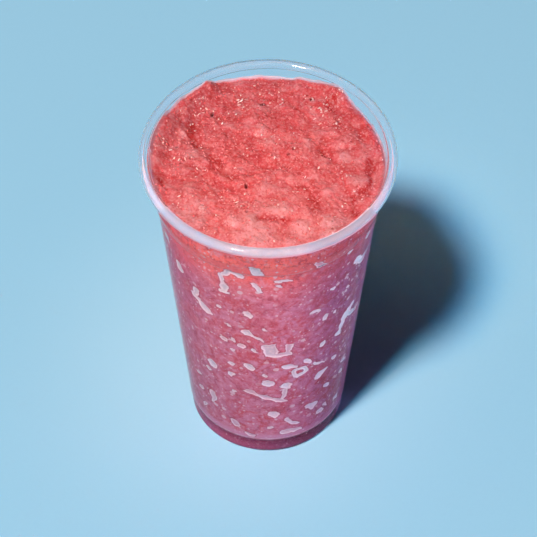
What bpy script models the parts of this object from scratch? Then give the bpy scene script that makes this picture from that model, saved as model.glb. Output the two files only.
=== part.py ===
"""A tall clear cold cup filled almost to its rim with red shaved ice.

Two separate pieces: the thin-walled cup, turned from one profile, and the shaved ice that
fills it. Metres, +Z up, the cup's axis on Z and its foot standing on Z = 0. The front of the
heap, as it is usually seen, faces -Y.
"""

import math

import bmesh
import bpy
from mathutils import Vector, geometry, noise

MM = 0.001

# Driving dimensions of the cup
CUP_HEIGHT = 150.0 * MM
RIM_RADIUS = 49.0 * MM
WALL = 0.5 * MM
FLOOR_WALL = 0.6 * MM
CUP_SEGMENTS = 72

# Rolled rim: the wall turns over outwards and curls down, leaving a slot under the curl
CURL_RADIUS = 1.6 * MM
CURL_END = math.radians(-112.5)
CURL_STEPS = 13

# Outside of the wall, as (radius, height) where its slope changes
COLLAR_TOP_R = RIM_RADIUS - 2 * CURL_RADIUS + WALL
COLLAR_FOOT = (45.1 * MM, 135.3 * MM)
SHOULDER_FOOT = (43.2 * MM, 129.7 * MM)
TAPER_TOP = (42.8 * MM, 129.1 * MM)
TAPER_FOOT = (31.9 * MM, 12.0 * MM)
BODY_ROUND = (31.8 * MM, 10.0 * MM)
BODY_FOOT = (31.5 * MM, 8.6 * MM)

# Narrower foot under the body, and the raised panel inside its standing ring
FOOT_TOP = (30.9 * MM, 8.2 * MM)
FOOT_LOW = (30.8 * MM, 0.9 * MM)
STEP_LIFT = 0.4 * MM
RING_OUTER = 30.1 * MM
RING_INNER = 27.3 * MM
RING_ROUND = (0.5 * MM, 0.3 * MM)
RING_INSET = 0.3 * MM
PANEL_EDGE = (25.6 * MM, 2.4 * MM)
PANEL_MIDWAY = 11.5 * MM
PANEL_RISE = 3.0 * MM

# Driving dimensions of the shaved ice
GAP = 0.3 * MM
FILL_AT_WALL = 143.9 * MM
CROWN = 0.5 * MM
TOP_LIMIT = 145.4 * MM
RING_COUNT = 20
POINTS_PER_RING = 6
MERGE = 0.01 * MM

# Lumps of the scooped top: broad mounds and the smaller lumps on them
MOUND_SIZE = 15.0 * MM
MOUND_HEIGHT = 0.65 * MM
LUMP_SIZE = 6.0 * MM
LUMP_HEIGHT = 0.5 * MM

# Furrows of the top in millimetres: from x, y to x, y, then the half width and the depth
FURROWS = (
    (-28, 23, -29, 11, 2.6, 1.2),
    (-29, 11, -22, 7, 1.8, 1.4),
    (-23, 4, -15, -7, 2.6, 1.0),
    (-7, -2, 9, -3, 1.6, 0.7),
    (-4, -28, 8, -27.5, 2.0, 1.0),
    (20, 12, 24, -4, 1.6, 0.9),
    (23, 33, 28, 24, 3.0, 1.1),
    (34, 20, 37, 10, 2.4, 1.3),
    (41, 2, 39, -14, 2.6, 2.4),
    (37, -14, 29, -17, 2.0, 1.3),
    (33, -21, 31, -30, 2.2, 1.0),
    (-42, -4, -39, -14, 2.2, 0.9),
    (-40, 23, -41, 8, 1.6, 1.2),
)

# Raised chips in millimetres: centre x, y, half length, half width, turn in degrees, height
CHIPS = (
    (19, 30, 4.5, 2.5, 20, 0.7),
    (31, -6, 7.5, 5.0, -15, 0.9),
    (-30, 4, 5.0, 3.5, 30, 0.7),
    (-6, 20, 9.0, 6.0, 10, 0.5),
    (14, 2, 6.0, 8.0, 0, 0.4),
    (-24, -18, 10.0, 8.0, 35, 0.5),
    (30, 17, 4.0, 5.5, 0, 0.6),
)

# Where the heap stands off the wall: middle of the hollow, its half angle, width and drop
STAND_OFFS = (
    (math.radians(27), math.radians(26), 3.4 * MM, 6.0 * MM),
    (math.radians(137), math.radians(20), 1.6 * MM, 2.5 * MM),
)
# Dips of the heap's edge at the wall: their direction, half angle and drop
EDGE_DIPS = (
    (math.radians(80), math.radians(9), 1.2 * MM),
    (math.radians(104), math.radians(12), 0.5 * MM),
)
EDGE_DIP_WIDTH = 4.0 * MM

SHARP_ANGLE = math.radians(40)


def clear_scene():
    """Start from an empty scene."""
    for item in list(bpy.data.objects):
        bpy.data.objects.remove(item, do_unlink=True)


def principled(name, colour, roughness, **inputs):
    """One Principled material, with any further inputs by name."""
    material = bpy.data.materials.new(name)
    material.use_nodes = True
    shader = material.node_tree.nodes["Principled BSDF"]
    shader.inputs["Base Color"].default_value = (*colour, 1.0)
    shader.inputs["Roughness"].default_value = roughness
    for key, value in inputs.items():
        shader.inputs[key].default_value = value
    material.diffuse_color = (*colour, inputs.get("Alpha", 1.0))
    return material


def smoothstep(value):
    """Ease from 0 to 1 as value goes from 0 to 1."""
    value = min(max(value, 0.0), 1.0)
    return value * value * (3.0 - 2.0 * value)


def arc(centre, radius, start, end, steps):
    """Points of an arc in the profile plane, both ends included."""
    points = []
    for step in range(steps + 1):
        angle = start + (end - start) * step / steps
        points.append((centre[0] + radius * math.cos(angle), centre[1] + radius * math.sin(angle)))
    return points


def panel(radius, floor):
    """Height of the slightly domed bottom panel, whose centre lies highest."""
    share = radius / PANEL_EDGE[0]
    return floor + PANEL_RISE + (PANEL_EDGE[1] - PANEL_RISE) * share * share


def outside_profile():
    """Underside centre to the end of the curl, along the outside of the wall."""
    points = [(0.0, panel(0.0, 0.0)), (PANEL_MIDWAY, panel(PANEL_MIDWAY, 0.0)), PANEL_EDGE]
    points += [(RING_INNER - RING_ROUND[0], RING_ROUND[1]), (RING_INNER, 0.0)]
    points += [(RING_OUTER, 0.0), (RING_OUTER + RING_ROUND[0], RING_ROUND[1])]
    points += [FOOT_LOW, FOOT_TOP, BODY_FOOT, BODY_ROUND, TAPER_FOOT]
    points += [TAPER_TOP, SHOULDER_FOOT, COLLAR_FOOT]
    centre = (RIM_RADIUS - CURL_RADIUS, CUP_HEIGHT - CURL_RADIUS)
    points += arc(centre, CURL_RADIUS - WALL, math.pi, CURL_END, CURL_STEPS)
    return points


def hollow(gap):
    """The cup's hollow from the collar's foot to the middle of the floor, less a gap."""
    inset = WALL + gap
    lift = STEP_LIFT + gap
    floor = FLOOR_WALL + gap
    points = [(r - inset, z) for r, z in (COLLAR_FOOT, SHOULDER_FOOT, TAPER_TOP, TAPER_FOOT)]
    points += [(r - inset, z + lift) for r, z in (BODY_FOOT, FOOT_TOP, FOOT_LOW)]
    points += [(RING_OUTER - RING_INSET - gap, floor), (RING_INNER + RING_INSET + gap, floor)]
    points += [(PANEL_EDGE[0] + gap, PANEL_EDGE[1] + floor)]
    points += [(r, panel(r, floor)) for r in (PANEL_MIDWAY, 0.0)]
    return points


def inside_profile():
    """End of the curl back over the rim, and down the inside of the wall to the middle."""
    centre = (RIM_RADIUS - CURL_RADIUS, CUP_HEIGHT - CURL_RADIUS)
    return arc(centre, CURL_RADIUS, CURL_END, math.pi, CURL_STEPS) + hollow(0.0)


def turned(name, profile, segments):
    """Closed mesh of a profile that runs from the axis round to the axis again."""
    bm = bmesh.new()
    rings = []
    for r, z in profile:
        if r == 0.0:
            rings.append([bm.verts.new((0.0, 0.0, z))])
            continue
        angles = [math.tau * k / segments for k in range(segments)]
        rings.append([bm.verts.new((r * math.cos(a), r * math.sin(a), z)) for a in angles])
    for low, high in zip(rings, rings[1:]):
        for k in range(segments):
            corners = [low[k % len(low)], low[(k + 1) % len(low)]]
            corners += [high[(k + 1) % len(high)], high[k % len(high)]]
            unique = list(dict.fromkeys(corners))
            bm.faces.new(unique)
    bmesh.ops.recalc_face_normals(bm, faces=bm.faces)
    return finish(name, bm)


def finish(name, bm):
    """Link a bmesh to the scene as one smooth object of triangles."""
    bmesh.ops.triangulate(bm, faces=bm.faces)
    mesh = bpy.data.meshes.new(name)
    bm.to_mesh(mesh)
    bm.free()
    mesh.shade_smooth()
    mesh.set_sharp_from_angle(angle=SHARP_ANGLE)
    item = bpy.data.objects.new(name, mesh)
    bpy.context.scene.collection.objects.link(item)
    return item


def angle_between(first, second):
    """Smallest turn between two directions, in radians."""
    return abs((first - second + math.pi) % math.tau - math.pi)


def furrow_depth(x, y):
    """Depth of all the furrows at a point of the top."""
    depth = 0.0
    for x0, y0, x1, y1, half, drop in FURROWS:
        start, end = Vector((x0, y0)) * MM, Vector((x1, y1)) * MM
        point = Vector((x, y))
        run = end - start
        share = min(max((point - start).dot(run) / run.length_squared, 0.0), 1.0)
        away = (point - start - run * share).length
        depth = max(depth, drop * MM * (1.0 - smoothstep(away / (half * MM))))
    return depth


def chip_height(x, y):
    """Height that the raised chips add at a point of the top."""
    height = 0.0
    for cx, cy, half_length, half_width, turn, rise in CHIPS:
        c, s = math.cos(math.radians(turn)), math.sin(math.radians(turn))
        dx, dy = x - cx * MM, y - cy * MM
        u = (dx * c + dy * s) / (half_length * MM)
        v = (dy * c - dx * s) / (half_width * MM)
        height = max(height, rise * MM * (1.0 - smoothstep(math.hypot(u, v) ** 2)))
    return height


def edge_drop(x, y, wall_radius):
    """How far the heap falls away where it stands off or dips at the wall."""
    direction = math.atan2(y, x)
    from_wall = wall_radius - math.hypot(x, y)
    drop = 0.0
    for middle, half_angle, width, fall in STAND_OFFS:
        share = 1.0 - smoothstep(angle_between(direction, middle) / half_angle)
        reach = 1.0 - smoothstep(from_wall / width)
        drop = max(drop, fall * share * reach)
    for middle, half_angle, fall in EDGE_DIPS:
        share = 1.0 - smoothstep(angle_between(direction, middle) / half_angle)
        drop += fall * share * (1.0 - smoothstep(from_wall / EDGE_DIP_WIDTH))
    return drop


def top_height(x, y, wall_radius):
    """Height of the shaved ice's top at a point."""
    share = math.hypot(x, y) / wall_radius
    height = FILL_AT_WALL + CROWN * (1.0 - share * share)
    height += MOUND_HEIGHT * noise.noise(Vector((x, y, 0.0)) / MOUND_SIZE)
    height += LUMP_HEIGHT * noise.noise(Vector((x, y, 40.0 * MM)) / LUMP_SIZE)
    height += chip_height(x, y) - furrow_depth(x, y)
    return min(height, TOP_LIMIT) - edge_drop(x, y, wall_radius)


def collar_fill_radius(z):
    """Radius of the fill inside the collar at a height: the wall's inside less the gap."""
    slope = (COLLAR_TOP_R - COLLAR_FOOT[0]) / (CUP_HEIGHT - CURL_RADIUS - COLLAR_FOOT[1])
    return COLLAR_FOOT[0] + slope * (z - COLLAR_FOOT[1]) - WALL - GAP


def fill_profile():
    """Side and floor of the fill, from its top edge to the middle of the floor."""
    return [(collar_fill_radius(FILL_AT_WALL), FILL_AT_WALL)] + hollow(GAP)


def shaved_ice():
    """The fill: a lumpy top on rings of points, and a side that follows the cup."""
    profile = fill_profile()
    wall_radius = profile[0][0]
    flat = [Vector((0.0, 0.0))]
    for ring in range(1, RING_COUNT + 1):
        count = ring * POINTS_PER_RING
        radius = wall_radius * ring / RING_COUNT
        turn = 0.0 if ring == RING_COUNT else 0.5 * (ring % 2)
        for k in range(count):
            angle = math.tau * (k + turn) / count
            flat.append(Vector((radius * math.cos(angle), radius * math.sin(angle))))
    points, _, faces, *_ = geometry.delaunay_2d_cdt(flat, [], [], 0, MERGE)
    bm = bmesh.new()
    top = [bm.verts.new((p.x, p.y, top_height(p.x, p.y, wall_radius))) for p in points]
    for face in faces:
        bm.faces.new([top[i] for i in face])
    count = RING_COUNT * POINTS_PER_RING
    above = top[-count:]
    for edge in above:
        pull = collar_fill_radius(edge.co.z) / wall_radius
        edge.co.x *= pull
        edge.co.y *= pull
    for r, z in profile[1:-1]:
        angles = [math.tau * k / count for k in range(count)]
        below = [bm.verts.new((r * math.cos(a), r * math.sin(a), z)) for a in angles]
        for k in range(count):
            following = (k + 1) % count
            bm.faces.new((above[k], below[k], below[following], above[following]))
        above = below
    middle = bm.verts.new((0.0, 0.0, profile[-1][1]))
    for k in range(count):
        bm.faces.new((above[k], middle, above[(k + 1) % count]))
    bmesh.ops.recalc_face_normals(bm, faces=bm.faces)
    return finish("raspado", bm)


def main():
    clear_scene()
    cup = turned("cup", outside_profile() + inside_profile(), CUP_SEGMENTS)
    clear = principled("clear_plastic", (0.86, 0.88, 0.93), 0.08, Alpha=0.3, IOR=1.5)
    cup.data.materials.append(clear)
    ice = shaved_ice()
    ice.data.materials.append(principled("shaved_ice", (0.78, 0.13, 0.13), 0.45))


main()
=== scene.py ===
import math
import random

import bpy
import numpy as np
from mathutils import Matrix, Vector, noise
from mathutils.bvhtree import BVHTree


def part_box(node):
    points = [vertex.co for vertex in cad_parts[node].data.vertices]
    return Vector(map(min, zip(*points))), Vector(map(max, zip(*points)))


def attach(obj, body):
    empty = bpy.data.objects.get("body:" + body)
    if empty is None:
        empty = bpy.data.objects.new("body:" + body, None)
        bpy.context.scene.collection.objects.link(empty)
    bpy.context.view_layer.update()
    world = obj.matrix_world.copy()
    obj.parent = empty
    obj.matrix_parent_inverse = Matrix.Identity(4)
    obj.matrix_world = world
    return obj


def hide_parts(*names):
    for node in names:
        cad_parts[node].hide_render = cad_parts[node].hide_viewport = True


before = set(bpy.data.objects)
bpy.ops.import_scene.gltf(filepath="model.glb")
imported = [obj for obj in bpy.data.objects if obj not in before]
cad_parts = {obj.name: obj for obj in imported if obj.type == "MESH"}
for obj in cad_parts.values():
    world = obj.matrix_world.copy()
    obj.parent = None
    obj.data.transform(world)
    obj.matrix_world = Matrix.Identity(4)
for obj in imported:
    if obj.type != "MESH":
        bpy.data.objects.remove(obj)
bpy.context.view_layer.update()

# The looks of a clear cold cup filled almost to its rim with red shaved ice.
# Metres, +Z up, the cup's axis on Z; the front, as it is usually seen, faces -Y.

_, cup_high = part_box("cup")
MM = 0.001

# Cup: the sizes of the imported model, with softened corners and a slightly wider rolled rim
CUP_HEIGHT = cup_high[2]
RIM_RADIUS = cup_high[0]
WALL = 0.5 * MM
FLOOR_WALL = 0.6 * MM
CURL_HALF_WIDTH = 2.0 * MM
CURL_HALF_HEIGHT = 1.95 * MM
CURL_CENTRE = (RIM_RADIUS - CURL_HALF_WIDTH, CUP_HEIGHT - CURL_HALF_HEIGHT)
CURL_END = math.radians(-112.5)
CURL_STEPS = 26
COLLAR_FOOT = (44.8 * MM, 135.3 * MM)
SHOULDER_FOOT = (43.4 * MM, 129.7 * MM)
TAPER_TOP = (42.8 * MM, 129.1 * MM)
TAPER_FOOT = (31.9 * MM, 12.0 * MM)
BODY_ROUND = (31.8 * MM, 10.0 * MM)
BODY_FOOT = (31.5 * MM, 8.6 * MM)
FOOT_TOP = (30.9 * MM, 8.2 * MM)
FOOT_LOW = (30.8 * MM, 0.9 * MM)
STEP_LIFT = 0.4 * MM
RING_OUTER = 30.1 * MM
RING_INNER = 27.3 * MM
RING_ROUND = (0.5 * MM, 0.3 * MM)
RING_INSET = 0.3 * MM
PANEL_EDGE = (25.6 * MM, 2.4 * MM)
PANEL_MIDWAY = 11.5 * MM
PANEL_RISE = 3.0 * MM
CORNER_ROUND = 0.9 * MM
CORNER_STEPS = 4
CUP_SEGMENTS = 240
# The wall counts as rim beyond this radius and height
RIM_SEEN_RADIUS = RIM_RADIUS - 2.0 * CURL_HALF_WIDTH - 0.2 * MM
RIM_SEEN_HEIGHT = CURL_CENTRE[1] - 0.6 * CURL_HALF_HEIGHT

# Frost and painted sheen inside the rolled rim: half its width and height at the front, and the
# directions from the front where it starts to fade and where it is gone
RIM_FROST_AND_SHEEN = (1.72 * MM, 1.67 * MM)
RIM_FROST_AND_SHEEN_FADE = (math.radians(40), math.radians(110))
RIM_FROST_AND_SHEEN_SIDES = 20

# Thin melting ice on the wall above the ice's edge, and how far it starts below that edge
MELT_DIP = 0.6 * MM
MELT_RISE = (0.4 * MM, 1.5 * MM)
MELT_THICKNESS = 1.2 * MM
MELT_COLUMNS = 360
MELT_ROWS = 8

# Shaved ice: how far it reaches into the wall, where its top piece meets its lower piece, and the
# heights at which the top's radius and its noises are taken
INTO_WALL = 0.2 * MM
JOIN_Z = COLLAR_FOOT[1]
TOP_LEVEL = 145.0 * MM
NOISE_LEVEL = 0.144
TOP_RINGS = 160
TOP_SECTORS = 6
BAND_ROWS = 12
SIDE_ROW = 0.80 * MM
FLOOR_ROW = 3.0 * MM
FRONT_COLUMN = math.radians(0.56)
BACK_COLUMN = math.radians(1.7)
FRONT_HALF_ANGLE = math.radians(95)
COLUMN_EASE = math.radians(20)
# Dents and swellings of the side start at this height and are full one ease higher; then the
# height of the swellings
DENTS_FROM = 7.5 * MM
DENTS_EASE = 3.0 * MM
SIDE_SWELL = 0.07 * MM

# Colours of the cup, in Blender's linear values: what shows, and what a lamp's light gets
PLASTIC_TINT = (0.985, 0.985, 1.0)
RIM_TINT = (0.98, 0.97, 1.0)
BODY_SHADE = (0.915, 0.925, 0.96)
RIM_SHADE = (0.74, 0.8, 0.88)
MIST_TINT = (0.86, 0.82, 1.0)

# Colours of the ice
CORAL = (0.84, 0.112, 0.122)
PALE_CORAL = (0.9, 0.345, 0.355)
SYRUP_RED = (0.62, 0.036, 0.038)
ASIDE_TINT = (0.93, 0.97, 0.985)
# Painted shade towards the back of the top
BACK_SHADE_TINT = (0.96, 0.96, 0.985)
# Painted shadow of the rim on the ice near the wall
RIM_SHADOW_ROSE = (0.33, 0.135, 0.17)
RIM_PINK = (0.5, 0.4, 0.45)
RIM_PALE = (0.565, 0.455, 0.505)
RIM_LILAC = (0.44, 0.41, 0.5)
# Pink low in the rim and on its inner side: a painted glow of the red ice's light through the rim
RIM_LOW = (1.0, 0.38, 0.42)
RIM_INNER = (1.0, 0.7, 0.78)
RIM_RIGHT_TINT = (0.9, 0.81, 0.78)
RIM_FROST_AND_SHEEN_SHADE = (0.95, 0.92, 0.95)
DARK_BIT = (0.30, 0.020, 0.022)
# Painted shade inside the holes
PIT_SHADE_RED = (0.16, 0.004, 0.005)
GLINT = (0.97, 0.55, 0.52)
FROSTED = (0.95, 0.60, 0.58)
ROSE = (0.555, 0.088, 0.12)
MAUVE = (0.57, 0.175, 0.265)
DULL_MAUVE = (0.45, 0.15, 0.245)
DEEP_ROSE = (0.33, 0.036, 0.064)
PINK_GRAIN = (0.72, 0.32, 0.42)
# Painted glow of light shining down through the ice into the collar
COLLAR_GLOW_RED = (0.98, 0.15, 0.118)
# Painted light on the shoulder, which faces down into shade
SHOULDER_GLOW = (1.0, 0.145, 0.155)
# Painted shade lower down, and more of it low on the right
LOW_SHADE_TINT = (0.8, 0.81, 0.87)
LOW_RIGHT_SHADE_TINT = (0.90, 0.80, 0.82)
# Painted shade on the right side
RIGHT_SHADE_TINT = (0.56, 0.4, 0.645)
# Painted shade at the left edge
LEFT_SHADE_TINT = (0.9, 0.34, 0.56)
LOW_HAZE = (0.60, 0.23, 0.34)
# Painted shadow under the foot's step, then painted light on the foot's left and shade on its right
FOOT_SHADOW = (0.18, 0.023, 0.066)
FOOT_LIT_TINT = (1.28, 1.3, 1.34)
FOOT_SHADE_TINT = (0.42, 0.37, 0.49)
FOOT_LILAC = (0.24, 0.062, 0.14)
FOOT_ROSE = (0.31, 0.064, 0.128)
# Painted reflection along the right edge
RIGHT_LIMB_REFLECTION = (0.50, 0.25, 0.42)
COLLAR_DARK = (0.50, 0.035, 0.045)
PLUM = (0.2, 0.03, 0.08)
FROST = (0.7, 0.48, 0.525)
RIGHT_FROST = (0.7, 0.52, 0.6)
DULL_FROST = (0.5, 0.39, 0.47)
BRIGHT_FROST = (0.8, 0.58, 0.64)

MELT_PINK = (0.95, 0.42, 0.47)
MELT_CLEAR = (0.95, 0.86, 0.96)
MELT_RIGHT_TINT = (0.72, 0.8, 0.84)
MELT_SHADE = (0.97, 0.9, 0.92)
PALE_GLINT = (1.0, 0.82, 0.78)
FLOOR_BLUES = ((0.362, 0.688, 0.915), (0.376, 0.703, 0.93))

# How far red, green and blue light spread inside the ice and the frost
TOP_SPREAD = (1.0, 0.45, 0.42)
SIDE_SPREAD = (1.0, 0.45, 0.5)
FROST_SPREAD = (1.0, 0.9, 0.95)

# What the reddish pool of light takes off the colours, and from where to where on X in millimetres
POOL_BALANCE = (0.85, 0.96, 0.98)
POOL_SPAN = (32.0, -40.0)

# Camera, light and floor, as in the photograph
VIEW_ELEVATION = math.radians(51.2)
VIEW_DISTANCE = 1262.0 * MM
VIEW_AIM = Vector((0.35, 2.73, 77.2)) * MM
VIEW_ROLL = 0.004
TOWARDS_KEY = (-0.280, -0.446, 1.0)
TOWARDS_KEY_WARM = (-0.310, -0.446, 1.0)
POOL_MIDDLE = (-9.0 * MM, 22.0 * MM, 0.0)
FLOOR_HALF = 12.0
AIR_COLOUR = (1.0, 0.56, 0.50, 1.0)
AIR_STRENGTH = 0.010
SENSOR_WIDTH = 36.0
LENS = 214.5


# Small helpers

def smoothstep(value):
    """Ease from 0 to 1, for numbers and arrays."""
    value = np.clip(value, 0.0, 1.0)
    return value * value * (3.0 - 2.0 * value)


def link(item):
    """Put an object in the scene."""
    bpy.context.scene.collection.objects.link(item)
    return item


def mesh_object(name, points, faces, material):
    """A smooth mesh object at the origin with one material."""
    mesh = bpy.data.meshes.new(name)
    mesh.from_pydata(points, [], faces)
    mesh.validate()
    mesh.shade_smooth()
    mesh.materials.append(material)
    return link(bpy.data.objects.new(name, mesh))


def store(item, name, values):
    """Keep one number per vertex on an object's mesh."""
    layer = item.data.attributes.new(name, "FLOAT", "POINT")
    layer.data.foreach_set("value", np.asarray(values, dtype=np.float32))


def noise_field(points, size, offset=0.0):
    """Perlin noise, about -1 to 1, at each point, with lumps of the given size."""
    shift = Vector((offset, 0.37 * offset, 0.71 * offset))
    return np.array([noise.noise(Vector(p) / size + shift) for p in points])


def noise_pair(points, size, offset):
    """Two noise fields side by side, to bend places with."""
    return np.stack([noise_field(points, size, offset), noise_field(points, size, offset + 10.0)], -1)


def rings_from(start, count, rows):
    """Point numbers of rows that lie one after another from a start, count points each."""
    return [range(start + row * count, start + (row + 1) * count) for row in range(rows)]


def skin(rings, rising=True):
    """Faces between neighbouring closed rings of point numbers; any may be a single point."""
    faces = []
    for first, second in zip(rings, rings[1:]):
        for k in range(max(len(first), len(second))):
            here, after = first[k % len(first)], first[(k + 1) % len(first)]
            beyond, opposite = second[(k + 1) % len(second)], second[k % len(second)]
            corners = (here, opposite, beyond, after) if rising else (here, after, beyond, opposite)
            faces.append(tuple(dict.fromkeys(corners)))
    return faces


# Nodes

def add_node(tree, kind, settings=None, **inputs):
    """Add a node; an input's value is a plain value, a colour or another node's output."""
    made = tree.nodes.new(kind)
    for key, value in (settings or {}).items():
        setattr(made, key, value)
    for key, value in inputs.items():
        socket = made.inputs[int(key[1:])] if key[0] == "_" else made.inputs[key.replace("_", " ")]
        if isinstance(value, bpy.types.NodeSocket):
            tree.links.new(value, socket)
        else:
            socket.default_value = (*value, 1.0) if socket.type == "RGBA" else value
    return made


class Look:
    """A material in the making: its nodes, the point's own place and the colour so far.

    The coordinates are in metres. Sizes and places are given in millimetres, except to remap
    and blend, which take values as they are.
    """

    def __init__(self, name, colour):
        self.material = bpy.data.materials.new(name)
        self.material.use_nodes = True
        self.tree = self.material.node_tree
        self.tree.nodes.clear()
        self.where = self.add("ShaderNodeTexCoord").outputs["Object"]
        self.x, self.y, self.z = self.add("ShaderNodeSeparateXYZ", Vector=self.where).outputs
        self.colour = colour

    def add(self, kind, settings=None, **inputs):
        """Add a node."""
        return add_node(self.tree, kind, settings, **inputs)

    def attribute(self, name):
        """A number kept on the mesh."""
        return self.add("ShaderNodeAttribute", {"attribute_name": name}).outputs["Fac"]

    def noise(self, grain, detail=3.0, roughness=0.55, where=None, **more):
        """Noise whose lumps are about grain across."""
        return self.add("ShaderNodeTexNoise", Vector=where or self.where, Scale=1.0 / (grain * MM),
                        Detail=detail, Roughness=roughness, **more).outputs["Fac"]

    def remap(self, value, low, high, to_low=0.0, to_high=1.0):
        """Carry a plain value from one range to another, eased and clamped."""
        return self.add("ShaderNodeMapRange", {"interpolation_type": "SMOOTHSTEP"}, Value=value,
                        From_Min=low, From_Max=high, To_Min=to_low, To_Max=to_high).outputs["Result"]

    def over(self, place, low, high, to_low=0.0, to_high=1.0):
        """Carry a place from between two others to another range, eased and clamped."""
        return self.remap(place, low * MM, high * MM, to_low, to_high)

    def combine(self, operation, *values):
        """One Math node."""
        inputs = {f"_{number}": value for number, value in enumerate(values)}
        return self.add("ShaderNodeMath", {"operation": operation}, **inputs).outputs[0]

    def times(self, first, second):
        """Two values multiplied."""
        return self.combine("MULTIPLY", first, second)

    def aside(self):
        """Distance to the left or right of the cup's axis."""
        return self.combine("ABSOLUTE", self.x, 0.0)

    def scaled(self, factors):
        """The point's place, scaled along the axes."""
        return self.add("ShaderNodeVectorMath", {"operation": "MULTIPLY"}, _0=self.where,
                        _1=factors).outputs[0]

    def from_axis(self):
        """Distance from the cup's axis."""
        return self.add("ShaderNodeVectorMath", {"operation": "LENGTH"},
                        _0=self.scaled((1.0, 1.0, 0.0))).outputs["Value"]

    def band(self, value, low, high, edge, unit=MM):
        """1 between two values and 0 beyond them, with soft edges; all three in the unit."""
        low, high, edge = low * unit, high * unit, edge * unit
        rising = self.remap(value, low - edge, low + edge)
        return self.times(rising, self.remap(value, high + edge, high - edge))

    def specks(self, spacing, most, share, soft=0.12, where=None):
        """Small round specks in a share of the cells of a loose grid, 0 outside and 1 inside."""
        spacing, most, soft = spacing * MM, most * MM, soft * MM
        cells = self.add("ShaderNodeTexVoronoi", {"feature": "F1"}, Vector=where or self.where,
                         Scale=1.0 / spacing).outputs
        draw = self.add("ShaderNodeSeparateColor", Color=cells["Color"]).outputs[0]
        radius = self.remap(draw, 1.0 - share, 1.0, 0.0, most / spacing)
        return self.remap(self.combine("SUBTRACT", radius, cells["Distance"]), 0.0, soft / spacing)

    def mix(self, share, first, second, way="MIX"):
        """A mix of two colours by a share."""
        return self.add("ShaderNodeMix", {"data_type": "RGBA", "blend_type": way}, _0=share, _6=first,
                        _7=second).outputs[2]

    def paint(self, share, colour):
        """Cover the colour so far with another, in a share."""
        self.colour = self.mix(share, self.colour, colour)

    def blend(self, value, low, high, colour, most=1.0):
        """Paint with a colour, up to its most, as a plain value goes from low to high."""
        self.paint(self.remap(value, low, high, 0.0, most), colour)

    def cover(self, place, low, high, colour, most=1.0):
        """Paint with a colour, up to its most, as a place goes from low to high."""
        self.paint(self.over(place, low, high, 0.0, most), colour)

    def tint(self, place, low, high, colour):
        """Multiply the colour so far by a tint, more of it from low to high."""
        self.colour = self.mix(self.over(place, low, high), self.colour, colour, "MULTIPLY")

    def bump(self, height, strength, distance):
        """The surface's direction, bumped by a height."""
        return self.add("ShaderNodeBump", Strength=strength, Distance=distance * MM,
                        Height=height).outputs["Normal"]

    def finish(self, shade=None, **inputs):
        """The material in the colour so far; with a shade, lamps shine through in that colour."""
        shader = self.add("ShaderNodeBsdfPrincipled", Base_Color=self.colour, **inputs).outputs[0]
        if shade:
            through = self.add("ShaderNodeBsdfTransparent", Color=shade).outputs[0]
            from_lamp = self.add("ShaderNodeLightPath").outputs["Is Shadow Ray"]
            shader = self.add("ShaderNodeMixShader", _0=from_lamp, _1=shader, _2=through).outputs[0]
        self.add("ShaderNodeOutputMaterial", Surface=shader)
        return self.material


# Materials

def plastic(name, tint, shade, clearness, bending, haze):
    """Clear drawn plastic, faintly wavy and misted by the cold above the ice."""
    look = Look(name, tint)
    return look.finish(
        shade, Roughness=look.remap(look.noise(5.0), 0.3, 0.7, 0.03, 0.06), IOR=bending,
        Normal=look.bump(look.noise(14.0, detail=1.0), 0.05, 0.3), Transmission_Weight=clearness,
        Sheen_Weight=look.over(look.z, 136.0, 142.0, 0.0, haze), Sheen_Roughness=0.4,
        Sheen_Tint=MIST_TINT)


def ice_top_material():
    """Moist crushed ice seen in the open: pale on its grains, deeper red in syrupy places.

    It carries painted light and shade: paler on lit crests and towards the front, darker towards the
    back, deeper red in cracks and hollows, dark in its holes, and the rim's painted shadow near the wall.
    """
    look = Look("crushed_ice", CORAL)
    grains = look.noise(0.9, roughness=0.65)
    blobs = look.add("ShaderNodeTexVoronoi", {"feature": "SMOOTH_F1"}, Vector=look.where,
                     Scale=1.0 / (1.7 * MM), Smoothness=0.6).outputs["Distance"]
    patches = look.noise(5.0)
    frost = look.attribute("frost")
    # Paler on grains and frosty patches, and painted light on crests, lit lips and towards the front
    look.blend(look.attribute("pale"), 0.0, 1.0, PALE_CORAL)
    look.blend(patches, 0.50, 0.64, SYRUP_RED, 0.50)
    look.blend(patches, 0.47, 0.35, PALE_CORAL, 0.45)
    # Syrupy red, which in cracks and hollows is also painted shade
    look.paint(look.attribute("syrup_and_shade"), SYRUP_RED)
    look.blend(blobs, 0.45, 0.15, PALE_CORAL, 0.35)
    look.blend(grains, 0.50, 0.68, PALE_CORAL, 0.65)
    look.blend(grains, 0.48, 0.33, SYRUP_RED, 0.50)
    gathered = look.combine("ADD", look.noise(1.2, roughness=0.7), look.times(frost, 0.08))
    look.blend(gathered, 0.66, 0.74, FROSTED, 0.65)
    # Painted shade towards the back
    look.tint(look.y, 2.0, 34.0, BACK_SHADE_TINT)
    look.tint(look.aside(), 14.0, 34.0, ASIDE_TINT)
    dark_bits = look.times(look.specks(1.5, 0.55, 0.40), frost)
    look.paint(look.times(dark_bits, 0.55), DARK_BIT)
    # Painted shadow of the rim on the ice near the wall
    look.paint(look.times(look.attribute("edge"), 0.8), RIM_SHADOW_ROSE)
    # Painted shade inside the holes
    look.paint(look.attribute("pit"), PIT_SHADE_RED)
    flecks = look.specks(1.25, 0.40, 0.45)
    look.paint(look.times(flecks, look.remap(frost, 0.0, 1.0, 0.28, 0.75)), GLINT)
    look.tint(look.x, *POOL_SPAN, POOL_BALANCE)
    fine = look.noise(0.45, detail=2.0, roughness=0.7)
    return look.finish(
        Roughness=look.remap(look.noise(1.7), 0.35, 0.65, 0.25, 0.50), IOR=1.33,
        Normal=look.bump(fine, 0.25, 0.25), Subsurface_Weight=0.8, Subsurface_Radius=TOP_SPREAD,
        Subsurface_Scale=3.0 * MM)


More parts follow.
